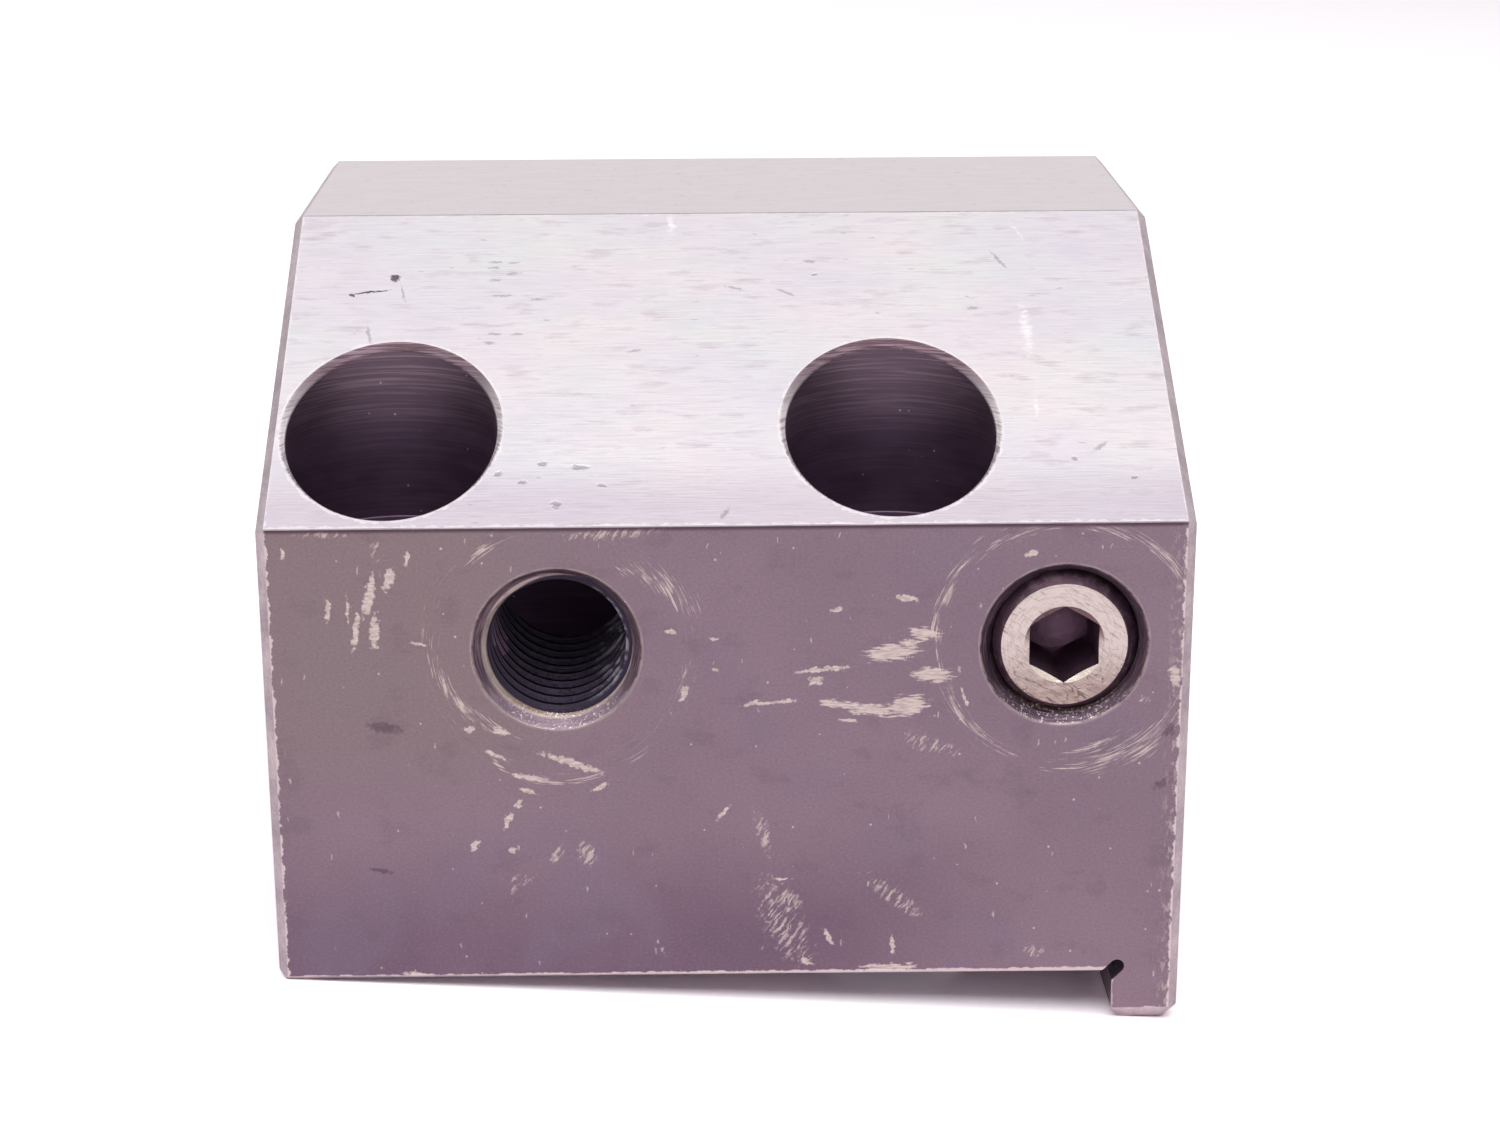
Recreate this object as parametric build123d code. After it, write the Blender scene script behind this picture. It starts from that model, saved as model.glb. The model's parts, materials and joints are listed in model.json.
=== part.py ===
from build123d import *
from math import cos, radians, tan
import os

# Boring bar holder, in millimetres: a one-piece steel block that is bolted to a machine's tool
# face and clamps a bar with screws from the front. X runs along the bar, Y from the clamping face
# to the back, and Z up from the mounting face. The origin lies on the mounting face, under the
# middle of the bar bore.

# Block
width = 80.0              # along the bar
depth = 66.0              # clamping face to back
height = 61.8             # mounting face to top
front_height = 41.7       # mounting face to the foot of the ground slope
slope_run = 35.2          # the slope, seen from above
edge_chamfer = 0.75       # upright edges, sides of the slope and top, left edge of the foot
edge_break = 0.3          # front and back edges of the foot, back edge of the top

# Bar bore, from side to side in the middle of the depth
bore_diameter = 25.0
bore_height = 30.7        # above the mounting face; the clamping screws are at this height too
bore_chamfer = 1.0

# Mounting bolts: upright holes, counterbored through the slope for the bolt heads
bolt_spacing = 43.6
bolt_edge = 10.85         # left side to the nearer bolt
bolt_setback = 10.4       # clamping face to the bolts
bolt_hole = 13.0
head_hole = 18.4
head_depth = 5.4          # below the lowest point of the counterbore's rim
rim_chamfer = 0.45

# Clamping screw holes, tapped from the front into the bore
screw_spacing = 43.6
screw_edge = 11.1         # right side to the nearer screw
thread_diameter = 14.0
thread_pitch = 2.0
countersink_margin = 0.3  # radius of the countersink's mouth beyond the thread

# Locating lip under the right side, with a relief groove in its corner
lip_width = 6.0
lip_drop = 4.8
lip_chamfer = 0.75        # across the lip's underside
lip_chamfer_height = 1.1  # up its sides
relief_width = 1.3
relief_reach = 0.6        # corner to the centre of the groove's round end

# Clamping screw: a set screw with a hexagon socket and a flat point
screw_length = 20.0
screw_recess = 0.1        # below the clamping face
screw_clearance = 0.06    # to the wall of its hole, all round
face_chamfer = 0.45
point_chamfer = 0.85
socket_flats = 6.0
socket_depth = 8.0

# Worked out from the sizes above
left, right = -width / 2, width / 2
front, back = -depth / 2, depth / 2
slope_grade = (height - front_height) / slope_run
bolt_y = front + bolt_setback
bolt_places = [left + bolt_edge, left + bolt_edge + bolt_spacing]
rim_low = front_height + (bolt_setback - head_hole / 2) * slope_grade
head_floor = rim_low - head_depth
screw_places = [right - screw_edge - screw_spacing, right - screw_edge]
crest_depth = 0.5413 * thread_pitch  # of a metric internal thread, from its diameter inwards
core_radius = thread_diameter / 2 - crest_depth
mouth_radius = thread_diameter / 2 + countersink_margin
drill_slope = radians(30)            # of drilled ends, out of square to their axis
near = 1e-4                          # how close an edge lies to the plane that it is found by


def solid_block():
    # The side view and the front view, each drawn once and crossed
    side = make_face(Polyline(
        (front, -lip_drop), (front, front_height), (front + slope_run, height),
        (back, height), (back, -lip_drop), close=True))
    outline = make_face(Polyline(
        (left, 0), (left, height), (right, height), (right, -lip_drop),
        (right - lip_width, -lip_drop), (right - lip_width, 0), close=True))
    across = extrude(Plane.YZ * side, width / 2, both=True)
    along = extrude(Plane.XZ * outline, depth / 2, both=True)
    return across & along


def edges_at(block, axis, place):
    return block.edges().filter_by_position(axis, place - near, place + near)


def break_edges(block):
    # The edges stay sharp where the ground slope meets the front and the top
    sides = edges_at(block, Axis.X, left) + edges_at(block, Axis.X, right)
    block = chamfer([e for e in sides if e.center().Z > near - lip_drop], edge_chamfer)
    underside = block.faces().sort_by(Axis.Z)[0]
    block = chamfer(underside.edges(), lip_chamfer, lip_chamfer_height, reference=underside)
    level = edges_at(block, Axis.Z, 0) + edges_at(block, Axis.Z, height)
    ends = edges_at(block, Axis.Y, front) + edges_at(block, Axis.Y, back)
    return chamfer([e for e in level if e in ends], edge_break)


def relief_groove():
    # Its middle is the corner, so half of it lies in the open
    slot = SlotCenterToCenter(2 * relief_reach, relief_width, rotation=45)
    return extrude(Plane.XZ * Pos(right - lip_width, 0) * slot, depth / 2, both=True)


def bar_bore():
    # Half of it is turned along +Z from the middle, mirrored and laid along the bar
    radius = bore_diameter / 2
    half = revolve(Plane.XZ * make_face(Polyline(
        (0, 0), (radius, 0), (radius, width / 2 - bore_chamfer),
        (radius + bore_chamfer, width / 2), (0, width / 2), close=True)), Axis.Z)
    return Pos(0, 0, bore_height) * Rot(0, 90, 0) * (half + mirror(half, Plane.XY))


def bolt_hole_with_seat():
    upwards = (Align.CENTER, Align.CENTER, Align.MIN)
    shank = Cylinder(bolt_hole / 2, height, align=upwards)
    head = Cylinder(head_hole / 2, height, align=upwards)
    return shank + Pos(0, 0, head_floor) * head


def screw_hole():
    # A cylinder at the thread's crests, from the countersink at the origin inwards along +Z
    countersink = mouth_radius - core_radius
    cutter = revolve(Plane.XZ * make_face(Polyline(
        (0, 0), (mouth_radius, 0), (core_radius, countersink),
        (core_radius, depth / 2), (0, depth / 2), close=True)), Axis.Z)
    return Rot(-90, 0, 0) * cutter


def holder_block():
    block = break_edges(solid_block()) - relief_groove() - bar_bore()
    for x in bolt_places:
        block -= Pos(x, bolt_y, 0) * bolt_hole_with_seat()
    rims = [e for e in block.edges().filter_by(GeomType.ELLIPSE) if e.center().Z > front_height]
    block = chamfer(rims, rim_chamfer)
    for x in screw_places:
        block -= Pos(x, front, bore_height) * screw_hole()
    return block


def set_screw():
    # Turned along +Z from the socket end at the origin, with two of the socket's flats upright
    radius = core_radius - screw_clearance
    blank = revolve(Plane.XZ * make_face(Polyline(
        (0, 0), (radius - face_chamfer, 0), (radius, face_chamfer),
        (radius, screw_length - point_chamfer), (radius - point_chamfer, screw_length),
        (0, screw_length), close=True)), Axis.Z)
    inwards = (Align.CENTER, Align.CENTER, Align.MIN)
    flat_radius = socket_flats / 2
    corner_radius = flat_radius / cos(radians(30))
    socket = extrude(RegularPolygon(flat_radius, 6, major_radius=False, rotation=30), socket_depth)
    drilled_end = Cone(flat_radius, 0, flat_radius * tan(drill_slope), align=inwards)
    mouth = Cone(corner_radius, 0, corner_radius * tan(drill_slope), align=inwards)
    return blank - socket - Pos(0, 0, socket_depth) * drilled_end - mouth


# The left hole stands empty, and the screw sits in the right one
screw_seat = Pos(screw_places[1], front + screw_recess, bore_height) * Rot(-90, 0, 0)
pieces = {"holder_block": holder_block(), "set_screw": screw_seat * set_screw()}

os.makedirs("parts", exist_ok=True)
for name, piece in pieces.items():
    export_step(piece, f"parts/{name}.step")
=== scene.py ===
import bpy
import json
from math import atan2, cos, hypot, pi, radians, sin, tan
from mathutils import Matrix, Vector


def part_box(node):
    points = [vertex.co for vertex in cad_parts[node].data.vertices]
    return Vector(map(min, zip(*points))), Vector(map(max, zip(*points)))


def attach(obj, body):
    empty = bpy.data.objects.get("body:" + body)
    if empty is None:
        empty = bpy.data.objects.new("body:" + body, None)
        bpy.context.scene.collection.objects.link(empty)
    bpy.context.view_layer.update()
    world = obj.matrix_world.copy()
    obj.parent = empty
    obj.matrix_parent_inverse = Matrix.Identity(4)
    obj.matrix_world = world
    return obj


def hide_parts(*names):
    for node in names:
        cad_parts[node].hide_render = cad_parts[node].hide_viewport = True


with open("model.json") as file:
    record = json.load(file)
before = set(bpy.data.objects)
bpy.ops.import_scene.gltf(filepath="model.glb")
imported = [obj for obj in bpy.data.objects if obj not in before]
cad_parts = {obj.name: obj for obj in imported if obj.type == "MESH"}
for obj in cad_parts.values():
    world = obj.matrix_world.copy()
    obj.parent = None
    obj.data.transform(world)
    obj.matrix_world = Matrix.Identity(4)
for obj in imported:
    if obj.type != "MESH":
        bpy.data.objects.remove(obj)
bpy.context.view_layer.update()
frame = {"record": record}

mm = 0.001  # pieces are modelled in millimetres and made small when they are finished
weld = {"turned": 1e-3, "sliced": 1e-4, "finished": 2e-4}  # points nearer than these become one
mountOf = {mount["name"]: mount for mount in frame["record"]["mounts"]}
blockLow, blockHigh = [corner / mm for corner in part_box("holder_block")]
screwLow, screwHigh = [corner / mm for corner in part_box("set_screw")]

holder = {  # millimetres
    "frontHeight": 41.7,      # mounting face to the foot of the ground slope
    "slopeRun": 35.2,         # the slope, seen from above
    "edgeChamfer": 0.75,
    "edgeBreak": 0.3,
    "lipWidth": 6.0,
    "lipChamfer": 0.75,
    "lipChamferHeight": 1.1,
    "reliefWidth": 1.3,
    "reliefReach": 0.6,       # the lip's corner to the centre of the groove's round end
    "boreChamfer": 1.0,
    "headRadius": 9.2,        # of the counterbores for the bolt heads
    "headFloor": 36.985,      # above the mounting face
    "rimChamfer": 0.45,
    "softEdge": 0.08,         # the wear that takes the sharpness off every edge
    "beyond": 5.0,            # how far the cutters reach past the block
    "roundSteps": 144,
    "reliefSteps": 48,
    "softAngle": 20,          # degrees; flatter edges aren't softened
    "smoothAngle": 9,         # degrees; flatter edges are shaded smooth
}
thread = {  # millimetres; a metric thread of 14 by 2
    "radius": 7.0,
    "pitch": 2.0,
    "crestRadius": mountOf["open_screw_hole"]["dims"]["r_mm"],
    "mouthRadius": 7.3,       # of the 90 degree countersink
    "flankAngle": 30,         # degrees out of square to the axis
    "steps": 96,
    "ridgeStart": 1.25,       # the front to the middle of a ridge, at the side that faces +X
}

barPlace = Vector(mountOf["bar_bore"]["pos_m"]) / mm
barRadius = mountOf["bar_bore"]["dims"]["r_mm"]
bolts = mountOf["mounting_bolts"]
boltReach = Vector((bolts["dims"]["spacing_x_mm"] / 2, 0, 0))
boltPlaces = [Vector(bolts["pos_m"]) / mm + side * boltReach for side in (-1, 1)]
boltRadius = bolts["dims"]["hole_r_mm"]
openHole = Vector(mountOf["open_screw_hole"]["pos_m"]) / mm
openHole.y = blockLow.y
screwHole = (screwLow + screwHigh) / 2
screwHole.y = blockLow.y
slopeRise = blockHigh.z - holder["frontHeight"]
slopeLength = hypot(slopeRise, holder["slopeRun"])
slopeNormal = Vector((0, -slopeRise, holder["slopeRun"])) / slopeLength
slopeFoot = Vector((0, blockLow.y, holder["frontHeight"]))


def takeUp(piece):
    # the one object that the next operators act on
    if bpy.context.object and bpy.context.object.mode != "OBJECT":
        bpy.ops.object.mode_set(mode="OBJECT")
    bpy.ops.object.select_all(action="DESELECT")
    if piece:
        piece.select_set(True)
        bpy.context.view_layer.objects.active = piece


def openUp(piece):
    takeUp(piece)
    bpy.ops.object.mode_set(mode="EDIT")
    bpy.ops.mesh.select_mode(type="VERT")
    bpy.ops.mesh.select_all(action="SELECT")


def close():
    bpy.ops.object.mode_set(mode="OBJECT")


def closeOutwards():
    # with every face turned to look outwards
    bpy.ops.mesh.normals_make_consistent(inside=False)
    close()


def pullOut(shift):
    bpy.ops.mesh.extrude_region_move(TRANSFORM_OT_translate={"value": shift})


def pick(piece, kind, test):
    # opens the piece with those edges or polygons selected whose corners pass the test
    openUp(piece)
    bpy.ops.mesh.select_mode(type="EDGE" if kind == "edges" else "FACE")
    bpy.ops.mesh.select_all(action="DESELECT")
    close()
    corners = piece.data.vertices
    for part in getattr(piece.data, kind):
        part.select = test([corners[i].co for i in part.vertices])
    bpy.ops.object.mode_set(mode="EDIT")


def allAt(corners, axis, place, near=0.01):
    return all(abs(corner[axis] - place) < near for corner in corners)


def applyModifier(piece, kind, **settings):
    takeUp(piece)
    change = piece.modifiers.new(kind.lower(), kind)
    for name, value in settings.items():
        setattr(change, name, value)
    bpy.ops.object.modifier_apply(modifier=change.name)


def combine(piece, tool, operation="DIFFERENCE"):
    applyModifier(piece, "BOOLEAN", operation=operation, solver="EXACT", object=tool)
    bpy.data.objects.remove(tool)


def drawLine(name, place, points):
    # one corner, extruded along the outline; the points are measured from the place
    takeUp(None)
    bpy.ops.mesh.primitive_plane_add(size=1, location=place)
    line = bpy.context.object
    line.name = name
    openUp(line)
    bpy.ops.mesh.merge(type="CENTER")
    bpy.ops.transform.translate(value=points[0])
    for start, end in zip(points, points[1:]):
        step = Vector(end) - Vector(start)
        bpy.ops.mesh.extrude_vertices_move(TRANSFORM_OT_translate={"value": step})
    close()
    return line


def sweep(line, axis, steps, pitch=0.0, turns=1):
    # turns the line about its origin, and along the axis where there is a pitch
    applyModifier(line, "SCREW", axis=axis, angle=2 * pi, steps=steps, render_steps=steps,
                  screw_offset=pitch, iterations=turns, use_merge_vertices=False)
    openUp(line)
    bpy.ops.mesh.remove_doubles(threshold=weld["turned"])
    closeOutwards()
    takeUp(line)
    bpy.ops.object.transform_apply(location=True)
    return line


def turned(name, place, axis, outline, steps=holder["roundSteps"]):
    # the outline is pairs of how far along the axis and how far from it
    lay = {"X": lambda a, r: (a, r, 0), "Y": lambda a, r: (r, a, 0), "Z": lambda a, r: (r, 0, a)}
    return sweep(drawLine(name, place, [lay[axis](*pair) for pair in outline]), axis, steps)


def copyOf(piece, shift):
    takeUp(piece)
    bpy.ops.object.duplicate(linked=False)
    bpy.ops.transform.translate(value=shift)
    bpy.ops.object.transform_apply(location=True)
    return bpy.context.object


def slicePiece(piece, place, normal, drop=True):
    openUp(piece)
    bpy.ops.mesh.bisect(plane_co=place, plane_no=normal, use_fill=drop, clear_outer=drop,
                        threshold=weld["sliced"])
    close()


def threadedRod(name, place, start, end, inner, outer, play=0.0):
    # a rod along Y with a ridge round it; each ridge is narrower by the play at both flanks
    def ridge(radius):
        widening = tan(radians(thread["flankAngle"]))
        return thread["pitch"] / 16 + (thread["radius"] - radius) * widening - play

    pitch = thread["pitch"]
    turns = int((end - start) / pitch) + 4
    first = thread["ridgeStart"] + pitch * (int(start / pitch) - 2)
    outline = [(first - ridge(inner), inner), (first - ridge(outer), outer), (first + ridge(outer), outer),
               (first + ridge(inner), inner), (first - ridge(inner) + pitch, inner)]
    points = [(radius, along, 0) for along, radius in outline]
    rod = sweep(drawLine(name, place, points), "Y", thread["steps"], pitch, turns)
    for along, side in ((start, -1), (end, 1)):
        slicePiece(rod, (0, place.y + along, 0), (0, side, 0))
    openUp(rod)
    closeOutwards()
    return rod


def closeMesh(piece):
    openUp(piece)
    bpy.ops.mesh.remove_doubles(threshold=weld["finished"])
    bpy.ops.mesh.fill_holes(sides=6)
    closeOutwards()


def finishPiece(piece, node, body):
    takeUp(piece)
    piece.scale = (mm, mm, mm)
    bpy.ops.object.transform_apply(scale=True)
    bpy.ops.object.shade_smooth_by_angle(angle=radians(holder["smoothAngle"]))
    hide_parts(node)
    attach(piece, body)
    print("made", piece.name, len(piece.data.polygons), "faces")


def solidShape():
    low, high = blockLow, blockHigh
    lipInside = high.x - holder["lipWidth"]
    takeUp(None)
    bpy.ops.mesh.primitive_cube_add(size=1, location=(0, 0, high.z / 2))
    block = bpy.context.object
    block.name = "holderBlock"
    block.scale = (high.x - low.x, high.y - low.y, high.z)
    bpy.ops.object.transform_apply(location=True, scale=True)
    slicePiece(block, (lipInside, 0, 0), (1, 0, 0), drop=False)
    slicePiece(block, slopeFoot, slopeNormal)
    pick(block, "polygons", lambda p: allAt(p, 2, 0) and min(corner.x for corner in p) > 0)
    straight = -low.z - holder["lipChamferHeight"]
    pullOut((0, 0, -straight))
    bpy.ops.mesh.select_all(action="SELECT")
    bpy.ops.mesh.dissolve_limited(angle_limit=radians(1))
    closeOutwards()
    return block


def bevelEdges(block, offset, test):
    pick(block, "edges", test)
    bpy.ops.mesh.bevel(offset=offset, offset_type="OFFSET", segments=1, affect="EDGES")
    close()


def breakEdges(block):
    # the edges stay sharp where the slope meets the front and the top
    low, high = blockLow, blockHigh
    lipEdge = low.z + holder["lipChamferHeight"]
    bevelEdges(block, holder["edgeChamfer"], lambda p: allAt(p, 0, low.x))
    bevelEdges(block, holder["edgeChamfer"], lambda p: allAt(p, 0, high.x) and not allAt(p, 2, lipEdge))
    for side in (low.y, high.y):
        bevelEdges(block, holder["edgeBreak"], lambda p: allAt(p, 2, 0) and allAt(p, 1, side))
    bevelEdges(block, holder["edgeBreak"], lambda p: allAt(p, 2, high.z) and allAt(p, 1, high.y))


def chamferLip(block):
    low, high = blockLow, blockHigh
    rise = holder["lipChamferHeight"]
    pick(block, "polygons", lambda p: allAt(p, 2, low.z + rise))
    pullOut((0, 0, -rise))
    shrink = [1 - 2 * holder["lipChamfer"] / size for size in (holder["lipWidth"], high.y - low.y)]
    middle = (high.x - holder["lipWidth"] / 2, 0, low.z)
    bpy.ops.transform.resize(value=(*shrink, 1), center_override=middle)
    close()


def reliefGroove():
    # a round bar along the lip's corner, drawn out towards the open side
    radius = holder["reliefWidth"] / 2
    slant = Vector((1, 0, 1)).normalized()
    corner = Vector((blockHigh.x - holder["lipWidth"], 0, 0))
    takeUp(None)
    bpy.ops.mesh.primitive_cylinder_add(
        vertices=holder["reliefSteps"], radius=radius, depth=blockHigh.y - blockLow.y + 2 * holder["beyond"],
        location=corner + slant * holder["reliefReach"], rotation=(pi / 2, 0, 0))
    groove = bpy.context.object
    bpy.ops.object.transform_apply(location=True, rotation=True)
    openUp(groove)
    bpy.ops.mesh.select_all(action="DESELECT")
    close()
    for face in groove.data.polygons:
        face.select = face.normal.dot(slant) < -0.01
    bpy.ops.object.mode_set(mode="EDIT")
    pullOut(-2 * holder["reliefReach"] * slant)
    close()
    return groove


def barBore():
    half, beyond = blockHigh.x, holder["beyond"]
    inner = half - holder["boreChamfer"]
    wide = barRadius + holder["boreChamfer"] + beyond
    outline = [(-half - beyond, 0), (-half - beyond, wide), (-inner, barRadius),
               (inner, barRadius), (half + beyond, wide), (half + beyond, 0)]
    return turned("barBore", barPlace, "X", outline)


def boltHole(place):
    foot, top = -holder["beyond"], blockHigh.z + holder["beyond"]
    floor, head = holder["headFloor"], holder["headRadius"]
    outline = [(foot, 0), (foot, boltRadius), (floor, boltRadius), (floor, head), (top, head), (top, 0)]
    return turned("boltHole", (place.x, place.y, 0), "Z", outline)


def rimCutter(place):
    # a flaring oval, drawn level and then tilted with the slope, from above the slope to inside the
    # counterbore, a little below the chamfer's lower edge; its corners lie between the counterbore's
    tilt = atan2(slopeRise, holder["slopeRun"])
    chamfer, above = holder["rimChamfer"], 3.0
    rim = Vector((holder["headRadius"], holder["headRadius"] / cos(tilt)))
    wide, narrow = [Vector((rim.x + more, rim.y + more, 1)) for more in (above, -chamfer)]
    plumb = Vector((0, sin(tilt), cos(tilt)))
    drop = -(above + chamfer) * plumb
    takeUp(None)
    bpy.ops.mesh.primitive_circle_add(vertices=holder["roundSteps"], radius=1, fill_type="NGON",
                                      rotation=(0, 0, pi / holder["roundSteps"]))
    cutter = bpy.context.object
    bpy.ops.object.transform_apply(rotation=True)
    cutter.scale = wide
    bpy.ops.object.transform_apply(scale=True)
    openUp(cutter)
    pullOut(drop)
    shrink = (narrow.x / wide.x, narrow.y / wide.y, 1)
    bpy.ops.transform.resize(value=shrink, center_override=drop)
    bpy.ops.mesh.select_all(action="SELECT")
    closeOutwards()
    height = slopeFoot.z + (place.y - slopeFoot.y) * tan(tilt) + above - chamfer
    cutter.location = (place.x, place.y, height)
    cutter.rotation_euler = (tilt, 0, 0)
    bpy.ops.object.transform_apply(location=True, rotation=True)
    return cutter


def tappedHole(place):
    # ends inside the bar bore
    depth = -place.y - barRadius / 2
    return threadedRod("tappedHole", place, -holder["beyond"], depth,
                       thread["crestRadius"], thread["radius"])


def countersink(place):
    mouth, past = thread["mouthRadius"], holder["beyond"]
    outline = [(-past, 0), (-past, mouth + past), (mouth - past, past), (mouth - past, 0)]
    return turned("countersink", place, "Y", outline)


def makeBlock():
    block = solidShape()
    breakEdges(block)
    chamferLip(block)
    combine(block, barBore())
    for cutter in (boltHole(boltPlaces[0]), rimCutter(boltPlaces[0])):
        twin = copyOf(cutter, 2 * boltReach)
        combine(block, cutter)
        combine(block, twin)
    print("bored the block")
    applyModifier(block, "BEVEL", width=holder["softEdge"], segments=1, limit_method="ANGLE",
                  angle_limit=radians(holder["softAngle"]), use_clamp_overlap=False)
    combine(block, reliefGroove())
    for cutter in (tappedHole(openHole), countersink(openHole)):
        twin = copyOf(cutter, screwHole - openHole)
        combine(block, cutter)
        combine(block, twin)
    print("tapped the block")
    return block


screw = {  # millimetres
    "crestRadius": 6.93,
    "rootRadius": 5.79,
    "play": 0.06,             # between the flanks
    "faceRadius": 5.42,
    "pointRadius": 5.0,
    "faceRound": 0.16,
    "socketFlats": 6.0,
    "socketDepth": 8.0,
    "drillAngle": 30,         # of the socket's end and mouth, out of square to the screw
    "drillPlay": 0.02,        # the drilled end to the socket's flats
    "drillSteps": 48,
    "bottom": 0.5,            # how far before the socket's end the drilled end's cutter starts
    "beyond": 1.0,            # how far the cutters reach past the screw
}
socketCorner = screw["socketFlats"] / 2 / cos(radians(30))


def makeScrew():
    place = Vector((screwHole.x, screwLow.y, screwHole.z))
    length, past = screwHigh.y - screwLow.y, screw["beyond"]
    recess = place.y - blockLow.y
    piece = threadedRod("setScrew", screwHole, recess - past, recess + length + past,
                        screw["rootRadius"], screw["crestRadius"], screw["play"])
    wide = thread["radius"] + past
    face, point = screw["faceRadius"], screw["pointRadius"]
    outline = [(0, 0), (0, face), (wide - face, wide),
               (length - wide + point, wide), (length, point), (length, 0)]
    combine(piece, turned("envelope", place, "Y", outline, thread["steps"]), "INTERSECT")

    def onRim(corners):
        return allAt(corners, 1, place.y) and all(
            abs(hypot(corner.x - place.x, corner.z - place.z) - face) < 0.02 for corner in corners)

    pick(piece, "edges", onRim)
    bpy.ops.mesh.bevel(offset=screw["faceRound"], offset_type="OFFSET", segments=3, affect="EDGES")
    close()
    deep = screw["socketDepth"]
    takeUp(None)
    bpy.ops.mesh.primitive_cylinder_add(
        vertices=6, radius=socketCorner, depth=2 * deep, location=place, rotation=(pi / 2, 0, 0))
    hexagon = bpy.context.object
    bpy.ops.object.transform_apply(location=True, rotation=True)
    combine(piece, hexagon)
    slope = tan(radians(screw["drillAngle"]))
    start, drill = deep - screw["bottom"], screw["socketFlats"] / 2 - screw["drillPlay"]
    outline = [(start, 0), (start, drill), (deep, drill), (deep + drill * slope, 0)]
    combine(piece, turned("drilledEnd", place, "Y", outline, screw["drillSteps"]))
    outline = [(-past, 0), (-past, socketCorner + past / slope), (socketCorner * slope, 0)]
    combine(piece, turned("socketMouth", place, "Y", outline, thread["steps"]))
    return piece


def colour(red, green, blue):
    # from the 0 to 255 that a picture shows to what a shader takes
    return (*[(part / 255) ** 2.2 for part in (red, green, blue)], 1)


nodeTree = None  # the tree that the next nodes go into


def workOn(tree):
    global nodeTree
    nodeTree = tree
    return tree


def plugIn(node, inputs):
    for name, value in inputs.items():
        if isinstance(value, bpy.types.NodeSocket):
            nodeTree.links.new(value, node.inputs[name])
        else:
            node.inputs[name].default_value = value


def addNode(kind, inputs=None, **settings):
    made = nodeTree.nodes.new("ShaderNode" + kind)
    for name, value in settings.items():
        setattr(made, name, value)
    plugIn(made, inputs or {})
    return made


def reckon(operation, first, second=0.0, third=0.0):
    return addNode("Math", {0: first, 1: second, 2: third}, operation=operation).outputs[0]


def times(first, second):
    return reckon("MULTIPLY", first, second)


def timesPlus(first, second, third):
    return reckon("MULTIPLY_ADD", first, second, third)


def minus(first, second):
    return reckon("SUBTRACT", first, second)


def vector(operation, first, second=(0, 0, 0), third=(0, 0, 0)):
    inputs = {0: first, 1: second, 2: third}
    made = addNode("VectorMath", inputs, operation=operation).outputs
    return made["Value" if operation == "LENGTH" else "Vector"]


def split(point):
    return addNode("SeparateXYZ", {0: point}).outputs


def join(x, y, z=0.0):
    return addNode("CombineXYZ", {"X": x, "Y": y, "Z": z}).outputs[0]


def scaled(point, scale):
    return addNode("VectorMath", {0: point, "Scale": scale}, operation="SCALE").outputs[0]


def spin(point, degrees):
    inputs = {"Vector": point, "Angle": radians(degrees)}
    return addNode("VectorRotate", inputs, rotation_type="Z_AXIS").outputs[0]


def makeNoise(point, scale=1.0, detail=4.0, roughness=0.65):
    inputs = {"Vector": point, "Scale": scale, "Detail": detail, "Roughness": roughness}
    return addNode("TexNoise", inputs).outputs


def overlay(amount, *tints):
    # the tints are what lies below and above, each another node's output or a colour of a look
    below, above = [colour(*tint) if isinstance(tint, tuple) else tint for tint in tints]
    return addNode("Mix", {0: amount, 6: below, 7: above}, data_type="RGBA").outputs[2]


def layer(tint, above, mask, amount):
    return overlay(times(mask, amount), tint, above)


def fade(value, nothing, full):
    # 0 at one value and 1 at the other, soft at both ends
    ends = {"Value": value, "From Min": nothing, "From Max": full}
    return addNode("MapRange", ends, interpolation_type="SMOOTHSTEP").outputs[0]


def makeGroup(name, inputs, outputs):
    group = workOn(bpy.data.node_groups.new(name, "ShaderNodeTree"))
    for way, sockets in (("INPUT", inputs), ("OUTPUT", outputs)):
        for label, kind in sockets.items():
            group.interface.new_socket(label, in_out=way, socket_type="NodeSocket" + kind)
    return group, group.nodes.new("NodeGroupInput").outputs, group.nodes.new("NodeGroupOutput").inputs


def makeStreaks():
    # noise between 0 and 1; the stretch is how many waves a millimetre has each way
    group, given, made = makeGroup("Streaks", {"Point": "Vector", "Stretch": "Vector", "Detail": "Float"},
                                   {"Value": "Float"})
    stretched = vector("MULTIPLY", given["Point"], given["Stretch"])
    noise = makeNoise(stretched, detail=given["Detail"], roughness=0.6)
    group.links.new(fade(noise[0], 0.25, 0.75), made["Value"])
    return group


def makeMark():
    # the point carries in Z how far out it is from the nearest of the oval marks so far, where 1 is
    # the mark's edge; passing it from mark to mark keeps the reckoning small
    group, given, made = makeGroup("Mark", {"Point": "Vector", "Middle": "Vector", "Turn": "Vector",
                                            "Half Size": "Vector"}, {"Point": "Vector"})
    local = addNode("Mapping", {"Vector": given["Point"], "Location": given["Middle"],
                                "Rotation": given["Turn"], "Scale": given["Half Size"]},
                    vector_type="TEXTURE")
    reach = vector("LENGTH", local.outputs[0])
    before = split(given["Point"])
    nearest = reckon("MINIMUM", before["Z"], reach)
    group.links.new(join(before["X"], before["Y"], nearest), made["Point"])
    return group


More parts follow.
